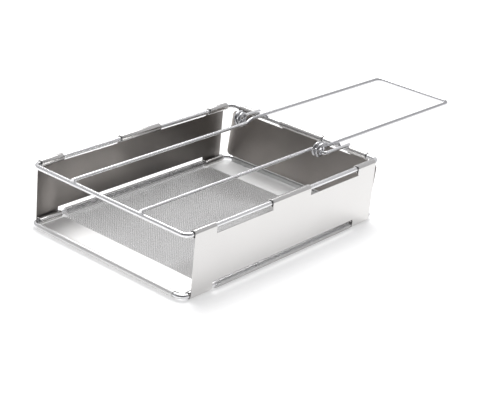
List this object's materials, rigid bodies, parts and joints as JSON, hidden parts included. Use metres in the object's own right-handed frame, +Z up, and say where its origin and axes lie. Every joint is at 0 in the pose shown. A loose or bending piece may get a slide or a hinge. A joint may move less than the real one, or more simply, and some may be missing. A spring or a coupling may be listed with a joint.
{
  "type": "folding camp toaster",
  "caption": "Folding stainless camp toaster: wire-framed box with a mesh floor, sheet sides and back, bread rack wires on top and a fold-over wire handle.",
  "frame": {"origin": "centre of the base on its underside, where the toaster stands on a burner or table", "axes": "+Z up, +Y to the rear, the way the handle points in use, +X to the right seen from the front"},
  "size_m": [0.1248, 0.2999, 0.0477],
  "materials": {
    "panel_sheet": "satin rolled stainless sheet",
    "wire_rod": "bright polished stainless wire",
    "mesh_wire": "dull woven stainless wire"
  },
  "bodies": {
    "base": {"base_wire_frame": "wire_rod", "mesh_screen": "mesh_wire", "front_border_plate": "panel_sheet", "rear_border_plate": "panel_sheet"},
    "left_panel": {"left_side_panel": "panel_sheet"},
    "right_panel": {"right_side_panel": "panel_sheet"},
    "top_frame": {"top_wire_frame": "wire_rod", "left_rack_wire": "wire_rod", "right_rack_wire": "wire_rod"},
    "back_flap": {"back_panel": "panel_sheet"},
    "handle": {"handle_wire": "wire_rod"}
  },
  "joints": [
    {"name": "fold", "type": "hinge", "parent": "base", "child": "left_panel", "pos_m": [-0.06, 0, 0.00245], "axis": [0, 1, 0], "range_deg": [0, 75]},
    {"name": "top_level", "type": "hinge", "parent": "left_panel", "child": "top_frame", "pos_m": [-0.06, 0, 0.039], "axis": [0, 1, 0], "range_deg": [-75, 0]},
    {"name": "right_fold", "type": "hinge", "parent": "base", "child": "right_panel", "pos_m": [0.06, 0, 0.00245], "axis": [0, 1, 0], "range_deg": [0, 75]},
    {"name": "back_swing", "type": "hinge", "parent": "top_frame", "child": "back_flap", "pos_m": [0, 0.0859, 0.039], "axis": [1, 0, 0], "range_deg": [0, 82.5]},
    {"name": "handle_swing", "type": "hinge", "parent": "top_frame", "child": "handle", "pos_m": [0, 0.0625, 0.04285], "axis": [1, 0, 0], "range_deg": [0, 180]}
  ],
  "couplings": [
    {"joint": "top_level", "follows": "fold", "ratio": -1},
    {"joint": "right_fold", "follows": "fold", "ratio": 1},
    {"joint": "back_swing", "follows": "fold", "ratio": 1.1}
  ]
}
